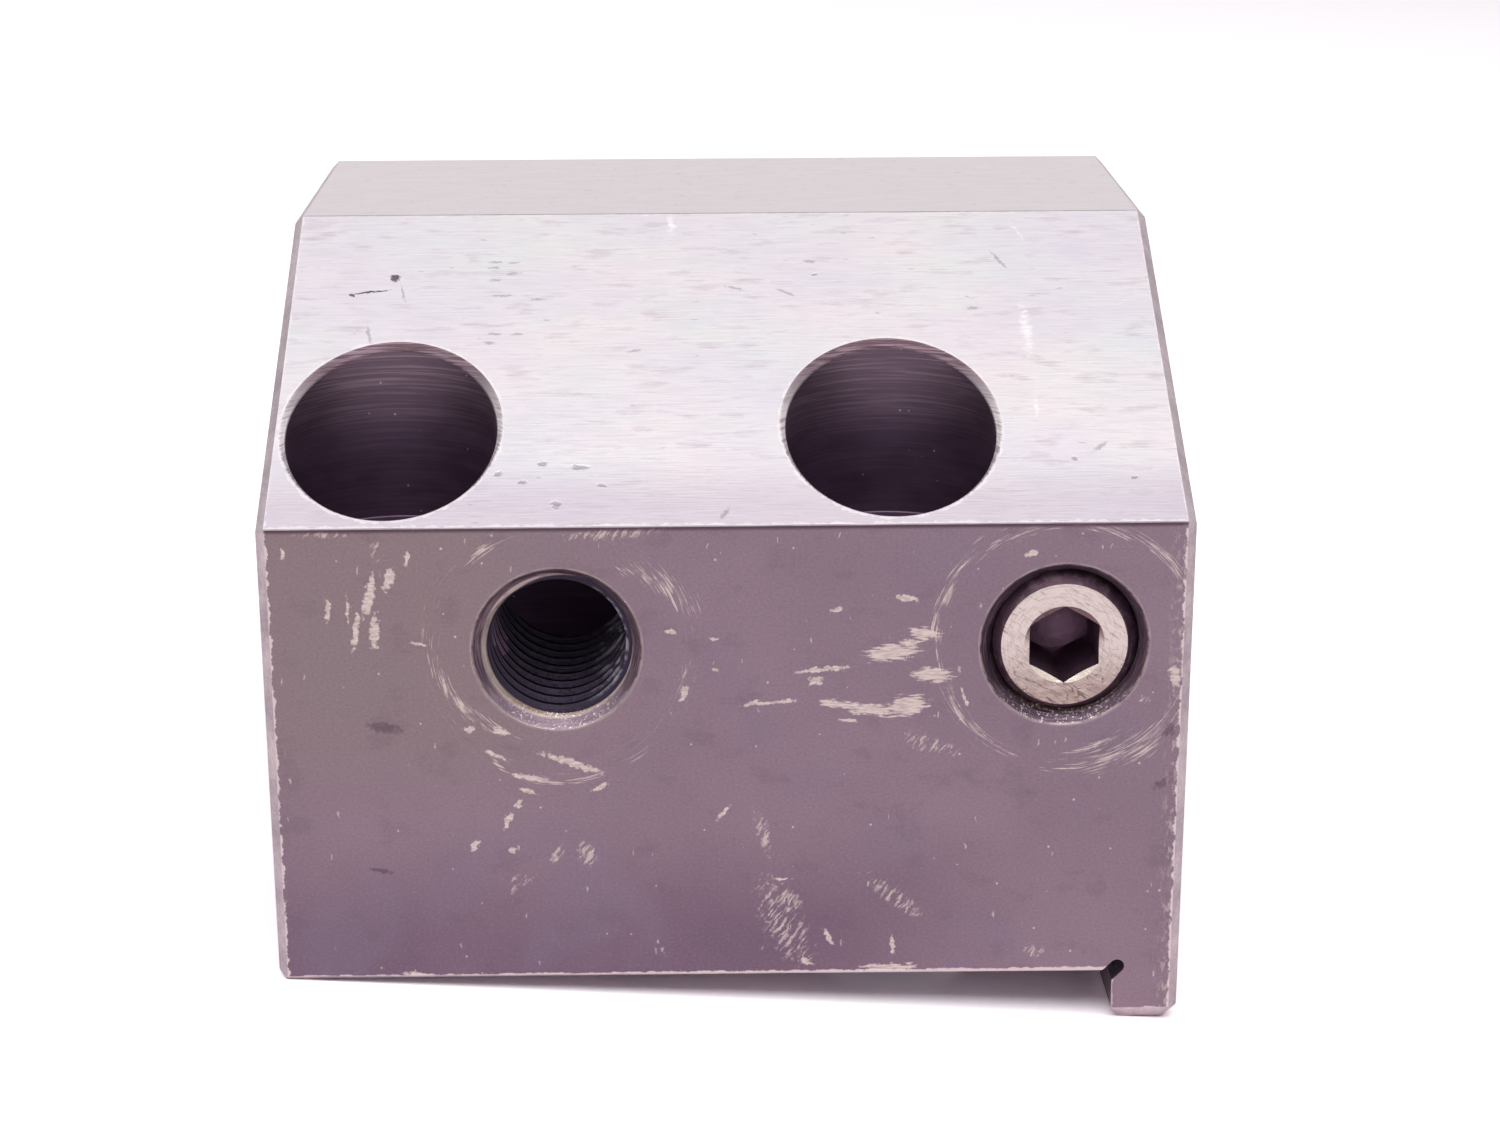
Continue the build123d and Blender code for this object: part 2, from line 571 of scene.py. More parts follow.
def makeSpecks():
    # small dots, at most one in each cell of a grid, in only the given share of the cells
    group, given, made = makeGroup("Specks", {"Point": "Vector", "Cells": "Float", "Size": "Float",
                                              "Share": "Float"}, {"Mask": "Float"})
    cells = addNode("TexVoronoi", {"Vector": given["Point"], "Scale": given["Cells"]})
    chance = addNode("SeparateColor", {0: cells.outputs["Color"]})
    chosen = reckon("LESS_THAN", chance.outputs[0], given["Share"])
    size = times(given["Size"], reckon("ADD", chance.outputs[1], 0.4))
    dot = fade(cells.outputs["Distance"], size, times(size, 0.4))
    group.links.new(times(dot, chosen), made["Mask"])
    return group


def makeWornEdge():
    # bare steel within about the given width of an edge, in uneven lengths
    group, given, made = makeGroup("Worn Edge", {"Point": "Vector", "Distance": "Float", "Width": "Float"},
                                   {"Mask": "Float"})
    uneven = makeNoise(given["Point"], 0.9)
    reach = times(given["Width"], fade(uneven[0], 0.3, 0.7))
    worn = fade(minus(reach, given["Distance"]), -0.06, 0.06)
    group.links.new(worn, made["Mask"])
    return group


ringRadius = 11.0  # of the middle ring, where most of the scuffs around the screw holes are


def makeRound():
    # lays rings out straight: the way along the middle ring, and the distance from the centre
    group, given, made = makeGroup("Round", {"Point": "Vector", "Centre": "Vector"},
                                   {"Point": "Vector", "Radius": "Float"})
    out = vector("SUBTRACT", given["Point"], given["Centre"])
    parts = split(out)
    angle = reckon("ARCTAN2", parts["Y"], parts["X"])
    along = times(reckon("FLOORED_MODULO", angle, 2 * pi), ringRadius)
    radius = vector("LENGTH", out)
    group.links.new(join(along, radius), made["Point"])
    group.links.new(radius, made["Radius"])
    return group


groups = {"streaks": makeStreaks(), "mark": makeMark(), "specks": makeSpecks(),
          "wornEdge": makeWornEdge(), "round": makeRound()}


def useGroup(name, inputs):
    return addNode("Group", inputs, node_tree=groups[name]).outputs


def streaks(point, along, across, detail=3.0, depth=1.0):
    stretch = (along, across, depth)
    return useGroup("streaks", {"Point": point, "Stretch": stretch, "Detail": detail})[0]


def specks(point, cells, size, share):
    return useGroup("specks", {"Point": point, "Cells": cells, "Size": size, "Share": share})[0]


def wornEdge(point, distance, width):
    return useGroup("wornEdge", {"Point": point, "Distance": distance, "Width": width})[0]


def layRound(point, hole):
    # the rings about a hole, laid out straight
    return useGroup("round", {"Point": point, "Centre": (hole.x, hole.z, 0)})


def marks(point, places, ragged, soft=0.25):
    # each place is across, up, length, width and turn; the noise tears the marks' edges
    far, deep = 9, 1000  # outside every mark, and so deep that the carried Z doesn't count
    point = vector("ADD", point, (0, 0, far))
    for across, up, length, width, turn in places:
        point = useGroup("mark", {"Point": point, "Middle": (across, up, 0),
                                  "Turn": (0, 0, radians(turn)),
                                  "Half Size": (length / 2, width / 2, deep)})[0]
    return fade(reckon("ADD", split(point)["Z"], ragged), 1 + soft, 1 - soft)


def squiggles(point, along, across, width):
    # thin wandering lines, where the noise crosses its middle
    offMiddle = minus(streaks(point, along, across, 2.0), 0.5)
    return fade(reckon("ABSOLUTE", offMiddle), width, 0.3 * width)


def startMaterial(name):
    material = bpy.data.materials.new(name)
    material.use_nodes = True
    workOn(material.node_tree)
    return material


def shade(**inputs):
    # sets the shader of the material in work
    named = {name.replace("_", " "): value for name, value in inputs.items()}
    plugIn(nodeTree.nodes["Principled BSDF"], named)


def startSteel(name, metallic):
    # the point is the place on the piece in millimetres
    material = startMaterial(name)
    shade(Metallic=metallic)
    return material, scaled(addNode("TexCoord").outputs["Object"], 1 / mm)


def layFlat(point):
    # the view of a face from the front
    parts = split(point)
    return join(parts["X"], parts["Z"]), parts


def raiseUp(height, distance):
    bump = addNode("Bump", {"Height": height, "Distance": distance * mm, "Strength": 1.0})
    shade(Normal=bump.outputs[0])


frontLook = {  # marks are across, up, length and width in millimetres, and turn in degrees
    "low": (112, 92, 109), "high": (142, 121, 133), "cool": (126, 114, 132),
    "warm": (138, 121, 122), "shade": (104, 84, 98), "dirtAndShade": (78, 60, 72),
    "bare": (212, 194, 188), "thin": (182, 164, 164), "edge": (228, 208, 208),
    "strokes": [
        (-34.1, 34.5, 1.8, 0.5, 85), (-32.4, 34.6, 2.1, 0.25, 90), (-31.8, 32.5, 3.2, 0.5, 81),
        (-30.5, 35.8, 3.3, 0.75, 77), (-30.2, 32.5, 2.7, 0.8, 88), (-28.8, 37.2, 1.9, 0.7, 72),
        (-27.2, 39.0, 1.2, 0.4, 75), (-37.7, 39.5, 0.8, 0.3, 93), (-26.6, 31.4, 1.6, 0.25, -11),
        (-13.6, 20.3, 5.1, 0.6, -21), (-17.3, 19.0, 2.6, 0.5, -11), (-22.4, 23.5, 0.9, 0.6, -7),
        (-19.6, 23.3, 1.3, 0.5, -18), (-20.0, 21.0, 2.1, 0.3, -27), (-18.3, 16.5, 0.9, 0.5, 59),
        (-19.3, 15.0, 1.5, 0.6, 71), (-17.4, 17.7, 1.2, 0.4, -19), (-22.2, 12.7, 1.1, 0.6, 56),
        (-19.0, 12.2, 0.7, 0.5, 7), (-11.1, 18.1, 1.6, 0.4, 28), (-27.8, 0.4, 2.1, 0.5, 0),
        (-4.9, 32.2, 1.0, 0.4, -8), (-3.8, 26.6, 1.4, 0.5, 71), (-0.5, 15.6, 1.9, 0.25, 49),
        (-1.2, 31.6, 0.6, 0.25, 0), (-1.1, 28.8, 0.6, 0.25, 0), (2.0, 25.7, 1.2, 0.3, 22),
        (8.1, 28.7, 3.8, 0.4, 5), (7.5, 27.7, 1.1, 0.6, 0), (9.3, 34.1, 1.0, 0.4, 4),
        (3.5, 25.7, 4.6, 0.3, 5), (4.7, 9.2, 1.2, 0.25, 4), (14.4, 2.8, 1.5, 0.4, -86),
        (8.7, 3.6, 1.6, 0.4, -57), (6.8, 1.3, 1.3, 0.5, -31), (25.9, 39.0, 1.2, 0.4, 16),
        (20.4, 26.0, 1.6, 0.25, -70), (38.5, 27.8, 1.9, 0.8, -85), (15.3, 35.1, 1.6, 0.5, -7),
    ],
    "patches": [
        (9.4, 25.5, 2.6, 0.7, -9), (12.3, 25.0, 3.7, 1.0, -6), (15.4, 25.3, 3.3, 1.7, 11),
        (10.4, 24.0, 1.3, 0.3, -5), (14.0, 30.2, 4.1, 1.4, 6), (15.8, 31.0, 1.3, 0.9, 7),
        (16.9, 31.9, 2.2, 1.1, -5), (17.6, 28.1, 3.0, 1.2, -2), (13.9, 0.6, 4.4, 0.6, 2),
    ],
    "scribbles": [
        (17.4, 21.7, 3.9, 1.2, -20), (3.0, 13.5, 3.5, 0.9, -78), (4.8, 5.0, 6.9, 2.6, -66),
        (5.0, 7.5, 2.6, 1.2, -39), (14.5, 7.4, 4.7, 1.3, -39), (-18.3, 9.4, 2.2, 0.8, 24),
        (-18.9, 8.6, 1.7, 0.5, 80), (-15.0, 11.9, 1.5, 0.8, 61), (-12.4, 11.8, 2.0, 1.4, 89),
        (-9.5, 41.1, 7.3, 0.8, 4), (-34.4, 41.2, 3.4, 0.5, -2), (-29.7, 39.8, 1.3, 0.9, 88),
        (27.0, 2.0, 1.4, 1.0, 0), (-6.1, 2.9, 1.3, 0.3, -71), (36.0, 25.7, 0.9, 0.7, 0),
    ],
    "smudges": [
        (-29.7, 23.8, 2.7, 0.8, -14), (-30.4, 10.4, 1.8, 0.4, -10), (38.2, 22.8, 1.1, 0.9, 58),
        (37.9, 18.0, 1.7, 0.7, 32),
    ],
    "leftRings": [  # as the marks, but laid out straight: degrees round, radius, length, width, turn
        (208, 9.75, 14.0, 1.1, -10), (243, 11.7, 2.6, 0.5, 27), (275, 12.1, 10.2, 0.6, -2),
        (32, 10.9, 7.1, 1.8, -23), (347, 11.5, 2.9, 1.2, 0), (124, 10.7, 2.9, 0.8, 0),
    ],
    "rightRings": [
        (162, 11.25, 10.6, 1.0, -4), (213, 10.8, 10.6, 0.9, 0), (300, 11.5, 11.9, 1.9, 4),
        (289, 9.7, 5.4, 0.9, -4), (92, 10.9, 12.1, 0.9, 0), (46, 11.5, 5.8, 1.0, 0),
    ],
}


def ringMarks(point, hole, places):
    # fine strands that follow the rings, thick in the given arcs and faint all the way round
    laid = layRound(point, hole)
    strands = streaks(laid["Point"], 0.35, 7.0)
    broken = streaks(laid["Point"], 0.4, 0.8)
    straight = [(radians(angle) * ringRadius, radius, length, width, turn)
                for angle, radius, length, width, turn in places]
    ragged = times(minus(0.75, strands), 2.4)
    arcs = marks(laid["Point"], straight, ragged, 0.35)
    arcs = times(arcs, fade(broken, 0.1, 0.7))
    inner, outer = fade(laid["Radius"], 9.6, 11.0), fade(laid["Radius"], 12.4, 11.4)
    faint = times(times(inner, outer), fade(strands, 0.7, 1.0))
    mouth = fade(laid["Radius"], thread["mouthRadius"] + 0.2, thread["mouthRadius"] + 0.1)
    faint = reckon("MAXIMUM", faint, mouth)
    return arcs, times(faint, broken)


def shiftedBy(point, size, scale):
    # wanders the point about, so that what is drawn on it has uneven outlines
    shift = vector("SUBTRACT", makeNoise(point, scale)["Color"], (0.5, 0.5, 0.5))
    return vector("MULTIPLY_ADD", shift, (size, size, 0), point)


def fromSides(across):
    # how far in from the chamfers at the left and right sides
    return minus(blockHigh.x - holder["edgeChamfer"], reckon("ABSOLUTE", across))


def makeFrontSteel():
    look = frontLook
    material, point = startSteel("frontSteel", 0.8)
    flat, parts = layFlat(point)
    # painted shade: the face is darker towards its foot, less so towards the right, with clouds of tone over
    # it
    height = reckon("MAXIMUM", fade(parts["Z"], 2.0, 16.0), fade(parts["X"], 0.0, 30.0))
    clouds = streaks(flat, 0.05, 0.05)
    tint = overlay(timesPlus(clouds, 0.3, times(height, 0.7)), look["low"], look["high"])
    cool = fade(streaks(flat, 0.07, 0.06, 2.0), 0.55, 0.95)
    tint = layer(tint, look["cool"], cool, 0.35)
    warm = times(fade(parts["X"], 0.0, -25.0), fade(parts["Z"], 12.0, 26.0))
    tint = layer(tint, look["warm"], warm, 0.7)
    grain = streaks(flat, 4.0, 5.0, 4.0)
    soil = streaks(flat, 0.22, 0.30, 5.0)
    tint = layer(tint, look["shade"], fade(soil, 0.6, 1.0), 0.22)
    tint = layer(tint, look["shade"], fade(grain, 0.55, 1.0), 0.16)
    tint = layer(tint, look["thin"], fade(grain, 0.45, 0.0), 0.10)
    torn = shiftedBy(flat, 0.7, 1.3)
    rough = streaks(flat, 2.2, 2.2, 5.0)
    ragged = times(minus(0.5, rough), 1.1)
    smudged = marks(torn, look["smudges"], ragged, 0.5)
    tint = layer(tint, look["dirtAndShade"], smudged, 0.55)
    hatched = fade(streaks(spin(torn, -55), 0.6, 3.5), 0.45, 0.75)
    scribbled = times(marks(torn, look["scribbles"], ragged, 0.5), hatched)
    tint = layer(tint, look["bare"], scribbled, 0.7)
    for hole, name in ((openHole, "leftRings"), (screwHole, "rightRings")):
        arcs, faint = ringMarks(flat, hole, look[name])
        tint = layer(tint, look["thin"], faint, 0.6)
        tint = layer(tint, look["bare"], arcs, 0.85)
    stretched = vector("MULTIPLY", torn, (1.3, 0.35, 1))
    ticks = specks(stretched, 0.9, 0.10, 0.5)
    tint = layer(tint, look["bare"], ticks, 0.6)
    brushed = streaks(flat, 0.9, 4.5, 4.0)
    tornAcross = timesPlus(brushed, -1.0, 0.5)
    bare = reckon("MAXIMUM", marks(torn, look["strokes"], ragged),
                  marks(torn, look["patches"], tornAcross))
    shown = timesPlus(fade(brushed, 0.1, 0.8), 0.45, 0.55)
    tint = layer(tint, look["bare"], bare, shown)
    rubbed = times(fade(parts["X"], blockHigh.x - 2.6, blockHigh.x - 0.8),
                   fade(streaks(torn, 2.4, 0.9, 5.0), 0.5, 0.9))
    tint = layer(tint, look["bare"], rubbed, 0.55)
    onLip = reckon("GREATER_THAN", parts["X"], blockHigh.x - holder["lipWidth"] - 0.5)
    lipEdge, footEdge = blockLow.z + holder["lipChamferHeight"], holder["edgeBreak"]
    fromFoot = minus(parts["Z"], timesPlus(onLip, lipEdge - footEdge, footEdge))
    fromLip = reckon("ABSOLUTE", minus(parts["X"], blockHigh.x - holder["lipWidth"]))
    fromLip = reckon("ADD", fromLip, reckon("MAXIMUM", parts["Z"], 0.0))
    worn = reckon("MAXIMUM", wornEdge(flat, fromSides(parts["X"]), 0.42),
                  wornEdge(flat, reckon("MINIMUM", fromFoot, fromLip), 0.2))
    tint = layer(tint, look["edge"], worn, 0.8)
    # a painted shade line along the top of the face, just under the slope's edge
    belowSlope = minus(holder["frontHeight"], parts["Z"])
    tint = layer(tint, look["dirtAndShade"], fade(belowSlope, 0.55, 0.2), 0.85)
    tint = layer(tint, look["bare"], specks(flat, 0.9, 0.11, 0.25), 0.8)
    shade(Base_Color=tint, Roughness=timesPlus(bare, -0.1, timesPlus(grain, 0.12, 0.40)))
    raiseUp(grain, 0.0075)
    return material


sideLook = {
    "low": (118, 102, 114), "high": (140, 126, 134), "shade": (92, 78, 90),
    "edge": (214, 198, 196), "thin": (160, 146, 150),
    "rubbed": (164, 148, 156), "half": (206, 190, 194),
}


def makeSideSteel():
    # the hidden sides: the front's blackening without its knocks
    look = sideLook
    material, point = startSteel("sideSteel", 0.75)
    clouds = streaks(point, 0.06, 0.06, 4.0, 0.06)
    tint = overlay(clouds, look["low"], look["high"])
    grain = streaks(point, 2.8, 2.8, 4.0, 2.8)
    tint = layer(tint, look["shade"], fade(grain, 0.5, 1.0), 0.3)
    rubbed = streaks(point, 0.5, 0.5, 6.0, 2.4)
    tint = layer(tint, look["thin"], fade(rubbed, 0.8, 1.0), 0.4)
    tint = layer(tint, look["edge"], specks(point, 0.8, 0.12, 0.3), 0.7)
    shade(Base_Color=tint, Roughness=timesPlus(grain, 0.14, 0.40))
    raiseUp(grain, 0.01)
    return material


def makeEdgeSteel():
    # the chamfers, rubbed half bare
    look = sideLook
    material, point = startSteel("edgeSteel", 0.8)
    rubbed = streaks(point, 0.25, 0.25, 6.0, 0.25)
    tint = overlay(rubbed, look["rubbed"], look["half"])
    grain = streaks(point, 3.0, 3.0, 3.0, 3.0)
    tint = layer(tint, look["shade"], grain, 0.2)
    shade(Base_Color=tint, Roughness=timesPlus(grain, 0.1, 0.36))
    return material


groundLook = {
    "pink": (234, 221, 224), "green": (223, 226, 224), "lilac": (218, 208, 224),
    "foot": (198, 185, 198), "shade": (186, 174, 180), "pit": (84, 70, 80),
    "bright": (250, 244, 246), "top": (188, 171, 178),
    "pits": [  # across, up the slope, length, width, turn
        (-30.0, 31.7, 0.8, 0.8, 0), (-33.8, 29.4, 0.5, 0.4, 0), (-32.2, 29.8, 3.4, 0.2, 10),
    ],
    "dents": [
        (-15.8, 7.6, 0.7, 0.5, 0), (-12.6, 7.1, 1.4, 0.45, 0), (-19.6, 6.4, 0.6, 0.6, 0),
        (-14.6, 2.6, 0.7, 0.6, 0), (-17.5, 5.4, 0.6, 0.35, 0), (-10.7, 4.9, 0.7, 0.35, 0),
        (8.5, 31.8, 0.6, 0.3, 0), (35.1, 5.3, 0.5, 0.4, 0), (30.2, 7.6, 0.4, 0.4, 0),
    ],
    "flecks": [
        (-29.2, 29.7, 2.1, 0.2, -77), (-20.8, 33.8, 1.1, 0.3, 0),
        (-19.2, 33.7, 1.1, 0.3, 3), (-20.9, 33.0, 1.1, 0.3, -4), (-19.2, 32.2, 1.1, 0.3, 0),
        (-20.8, 31.3, 1.1, 0.3, 5), (-20.2, 29.2, 2.0, 0.25, 0), (-16.9, 28.7, 1.1, 0.3, 0),
        (-18.6, 24.0, 1.1, 0.3, 4), (-20.6, 24.1, 1.1, 0.3, 0), (-21.0, 22.9, 1.1, 0.3, -3),
        (-31.9, 24.0, 2.0, 0.3, -78), (-8.1, 21.7, 1.3, 0.25, 11), (1.0, 30.0, 1.6, 0.35, -20),
        (-0.2, 1.4, 1.5, 0.4, 59), (25.6, 33.5, 2.4, 0.3, -62), (22.7, 27.0, 1.1, 0.45, 0),
        (8.1, 33.6, 1.2, 0.35, 0), (5.8, 29.3, 1.7, 0.3, -30), (32.5, 9.0, 1.6, 0.35, 43),
    ],
    "shines": [
        (-4.7, 38.9, 3.3, 1.1, 90), (-7.2, 40.3, 0.9, 0.35, 0), (27.6, 37.6, 3.1, 0.25, -66),
        (27.3, 24.0, 8.2, 1.2, 91), (27.4, 14.0, 3.2, 0.45, 88),
    ],
}


def makeGroundSteel():
    # the slope and the top, laid flat in one piece that runs up the slope and over to the back
    look = groundLook
    material, point = startSteel("groundSteel", 0.85)
    parts = split(point)
    up = reckon("DIVIDE", minus(parts["Z"], slopeFoot.z), slopeRise / slopeLength)
    crest = blockLow.y + holder["slopeRun"]
    back = reckon("MAXIMUM", 0.0, minus(parts["Y"], crest))
    flat = join(parts["X"], reckon("ADD", up, back))
    tint = overlay(streaks(flat, 0.05, 0.07, 4.0), look["pink"], look["green"])
    tint = layer(tint, look["lilac"], streaks(flat, 0.04, 0.09), 0.7)
    tint = layer(tint, look["foot"], fade(up, 9.0, 2.0), 0.7)
    onTop = reckon("GREATER_THAN", parts["Z"], blockHigh.z - 0.05)
    tint = overlay(onTop, tint, look["top"])
    fine = streaks(flat, 0.25, 5.0, 4.0)
    broad = streaks(flat, 0.2, 0.7, 5.0)
    patchy = times(broad, timesPlus(onTop, -0.4, 0.5))
    tint = layer(tint, look["shade"], fade(fine, 0.4, 1.0), patchy)
    tint = layer(tint, look["shade"], fade(broad, 0.55, 1.0), patchy)
    torn = shiftedBy(flat, 0.6, 1.5)
    rough = streaks(flat, 2.2, 2.2, 5.0)
    ragged = times(minus(0.5, rough), 0.9)
    dark = [(name, marks(torn, look[name], ragged, soft), amount)
            for name, soft, amount in (("flecks", 0.5, 0.36), ("dents", 0.5, 0.4), ("pits", 0.25, 0.9))]
    shone = marks(torn, look["shines"], streaks(flat, 1.5, 3.0), 0.6)
    tint = layer(tint, look["bright"], shone, 0.8)
    for name, mask, amount in dark:
        tint = layer(tint, look["pit"], mask, amount)
    stretched = vector("MULTIPLY", torn, (0.4, 1.5, 1))
    tint = layer(tint, look["pit"], specks(stretched, 0.9, 0.13, 0.3), 0.3)
    # bright lines along the sides, the slope's foot and crest, and round the counterbores: wear, and partly
    # a painted highlight
    worn = reckon("MAXIMUM", wornEdge(flat, fromSides(parts["X"]), 0.3), wornEdge(flat, up, 0.45))
    fromCrest = reckon("ABSOLUTE", minus(up, slopeLength))
    worn = reckon("MAXIMUM", worn, wornEdge(flat, fromCrest, 0.3))
    for place in boltPlaces:
        level = vector("MULTIPLY_ADD", point, (1, 1, 0), (-place.x, -place.y, 0))
        rim = minus(vector("LENGTH", level), holder["headRadius"] + holder["rimChamfer"])
        worn = reckon("MAXIMUM", worn, wornEdge(flat, rim, 0.4))
    tint = layer(tint, look["bright"], worn, 0.4)
    shade(Base_Color=tint, Roughness=timesPlus(broad, 0.12, 0.30))
    hollows = reckon("ADD", dark[1][1], dark[2][1])
    height = timesPlus(hollows, -2.0, times(fine, 0.2))
    raiseUp(height, 0.03)
    return material


boredLook = {
    "deep": (97, 76, 99), "high": (110, 90, 106), "lit": (150, 130, 140),
    "speck": (206, 194, 198), "rimShadedBack": (90, 70, 78), "rimLitFront": (240, 232, 234),
    "paintedLightHeights": (43.0, 52.0),   # above the mounting face, between which the walls are painted paler: painted light up high, painted shade deeper down
    "rimShadeDepths": (-1.0, 7.5),     # behind the bolts' middles, between which the rims go from a painted highlight to painted shade
}


def makeBoredSteel():
    # counterbores, bolt holes and bar bore, with the marks of the tool round them
    look = boredLook
    material, point = startSteel("boredSteel", 0.7)
    # painted light and shade: the walls and their tool marks paler towards the top, darker deep inside
    high = fade(split(point)["Z"], *look["paintedLightHeights"])
    cloud = streaks(point, 0.18, 0.18, 4.0, 0.5)
    tint = overlay(timesPlus(cloud, 0.12, high), look["deep"], look["high"])
    toolMarks = streaks(point, 0.10, 0.10, 5.0, 7.0)
    shown = timesPlus(high, 0.6, 0.12)
    tint = layer(tint, look["lit"], fade(toolMarks, 0.4, 0.9), shown)
    tint = layer(tint, look["speck"], specks(point, 0.9, 0.09, 0.35), 0.8)
    shade(Base_Color=tint, Roughness=timesPlus(cloud, 0.15, 0.38))
    raiseUp(toolMarks, 0.004)
    return material


def makeRimSteel():
    # the chamfers around the counterbores, painted bright at the front as a highlight and darker towards the
    # back as shade
    look = boredLook
    material, point = startSteel("rimSteel", 0.8)
    behind = fade(split(point)["Y"], *[boltPlaces[0].y + depth for depth in look["rimShadeDepths"]])
    rubbed = streaks(point, 0.25, 0.25, 4.0, 8.0)
    tint = overlay(behind, look["rimLitFront"], look["rimShadedBack"])
    tint = layer(tint, look["lit"], fade(rubbed, 0.3, 0.8), 0.7)
    shade(Base_Color=tint, Roughness=timesPlus(rubbed, 0.15, 0.34))
    return material


tappedLook = {
    "flank": (54, 47, 65), "crest": (58, 49, 62), "glint": (150, 144, 158),
    "cone": (92, 74, 84), "lit": (142, 121, 134), "ring": (190, 172, 168),
    "oil": (116, 88, 58), "speck": (232, 220, 226), "dark": (78, 58, 72),
}


def makeTappedSteel():
    # the threads and the countersinks, each about its own middle; the screw's hole is darker
    look = tappedLook
    material, point = startSteel("tappedSteel", 0.75)
    parts = split(point)
    half = (screwHole.x - openHole.x) / 2
    across = reckon("WRAP", minus(parts["X"], openHole.x), half, -half)
    up = minus(parts["Z"], openHole.z)
    laid = layRound(join(across, up), Vector())
    radius = laid["Radius"]
    strands = streaks(laid["Point"], 0.3, 8.0, 4.0)
    uneven = streaks(point, 0.9, 0.9, 4.0, 0.9)
    onCrest = fade(radius, 6.25, 6.0)
    threadTint = overlay(onCrest, look["flank"], look["crest"])
    side = fade(across, 2.0, 5.0)
    threadTint = layer(threadTint, look["glint"], onCrest, times(side, fade(uneven, 0.3, 0.9)))
    low = fade(up, -1.5, -6.0)
    lit = timesPlus(low, 0.7, times(fade(strands, 0.4, 0.8), 0.6))
    coneTint = overlay(lit, look["cone"], look["lit"])
    onRight = reckon("GREATER_THAN", parts["X"], openHole.x + half)
    darker = timesPlus(strands, -0.6, 1.0)
    coneTint = layer(coneTint, look["dark"], onRight, darker)
    ring = times(fade(radius, 6.6, 6.4), fade(uneven, -0.4, 0.5))
    coneTint = overlay(timesPlus(onRight, -0.9, ring), coneTint, look["ring"])
    coneTint = layer(coneTint, look["oil"], times(low, fade(radius, 6.5, 6.2)), 0.8)
    mouth = times(fade(radius, 7.12, 7.24), fade(uneven, 0.0, 0.6))
    coneTint = layer(coneTint, look["ring"], mouth, 0.7)
    inCone = fade(minus(parts["Y"], blockLow.y), 1.30, 1.15)
    tint = overlay(inCone, threadTint, coneTint)
    chips = times(fade(streaks(point, 4.0, 4.0, 3.0, 4.0), 0.6, 1.0), fade(up, -3.5, -6.5))
    tint = layer(tint, look["speck"], chips, inCone)
    shade(Base_Color=tint, Roughness=timesPlus(uneven, 0.15, 0.30))
    raiseUp(reckon("ADD", chips, strands), 0.02)
    return material


screwLook = {
    "bright": (210, 195, 190), "shade": (138, 118, 116), "smear": (128, 98, 92),
    "cut": (92, 70, 70), "mouth": (112, 90, 92), "crescentHighlight": (216, 202, 190),
    "dark": (80, 58, 72), "tip": (146, 126, 132), "socket": (112, 84, 104),
}


def makeScrewFace():
    look = screwLook
    material, point = startSteel("screwFace", 0.9)
    flat, parts = layFlat(point)
    laid = layRound(flat, screwHole)
    turnedMarks = streaks(laid["Point"], 0.35, 6.0)
    tint = layer(look["bright"], look["shade"], fade(turnedMarks, 0.4, 1.0), 0.35)
    slanted = spin(flat, 35)
    scratched = fade(streaks(slanted, 0.5, 3.5, 5.0), 0.65, 0.95)
    tint = layer(tint, look["shade"], scratched, 0.55)
    low = fade(parts["Z"], screwHole.z + 0.5, screwHole.z - 4.5)
    smeared = timesPlus(streaks(flat, 0.8, 2.0, 5.0), 0.5, 0.3)
    tint = layer(tint, look["smear"], smeared, low)
    cuts = squiggles(slanted, 0.25, 0.9, 0.05)
    tint = layer(tint, look["cut"], cuts, timesPlus(low, 0.6, 0.15))
    # painted shade on the upper part of the socket's mouth, and a painted highlight on its lower crescents
    inMouth = fade(laid["Radius"], socketCorner + 0.05, socketCorner - 0.02)
    upper = fade(parts["Z"], screwHole.z - 0.5, screwHole.z + 1.5)
    tint = layer(tint, look["mouth"], inMouth, upper)
    lower = fade(parts["Z"], screwHole.z - 1.0, screwHole.z - 2.0)
    tint = layer(tint, look["crescentHighlight"], inMouth, lower)
    shade(Base_Color=tint, Roughness=timesPlus(scratched, 0.15, 0.26))
    raiseUp(reckon("ADD", scratched, turnedMarks), 0.015)
    return material


def makeScrewDark():
    look = screwLook
    material, point = startSteel("screwDark", 0.75)
    laid = layRound(layFlat(point)[0], screwHole)
    uneven = streaks(point, 0.8, 0.8, 4.0, 0.8)
    tint = overlay(fade(laid["Radius"], 4.6, 3.6), look["dark"], look["socket"])
    tint = layer(tint, look["tip"], fade(uneven, 0.4, 1.0), 0.3)
    tips = times(fade(laid["Radius"], 6.75, 6.92), fade(uneven, 0.2, 0.8))
    tint = overlay(tips, tint, look["tip"])
    shade(Base_Color=tint, Roughness=timesPlus(uneven, 0.15, 0.34))
    raiseUp(uneven, 0.02)
    return material


view = {  # width and focal length in pixels, the clip in metres, the rest in millimetres and degrees
    "width": 1500, "focal": 2936.7, "sensor": 36, "clip": (0.01, 20),
    "place": (-2.76, -270.9, 113.2), "down": 17.45, "aside": 1.12, "roll": -0.20,
}


def setCamera():
    down, aside, roll = [radians(view[name]) for name in ("down", "aside", "roll")]
    ahead = Vector((sin(aside) * cos(down), cos(aside) * cos(down), -sin(down)))
    right = Vector((cos(aside), -sin(aside), 0))
    up = right.cross(ahead)
    right, up = cos(roll) * right + sin(roll) * up, -sin(roll) * right + cos(roll) * up
    turn = Matrix((right, up, -ahead)).transposed().to_4x4()
    lens = bpy.data.cameras.new("camera")
    lens.sensor_width = view["sensor"]
    lens.lens = lens.sensor_width * view["focal"] / view["width"]
    lens.clip_start, lens.clip_end = view["clip"]
    camera = bpy.data.objects.new("camera", lens)
    camera.matrix_world = Matrix.Translation(Vector(view["place"]) * mm) @ turn
    bpy.context.scene.collection.objects.link(camera)
    bpy.context.scene.camera = camera


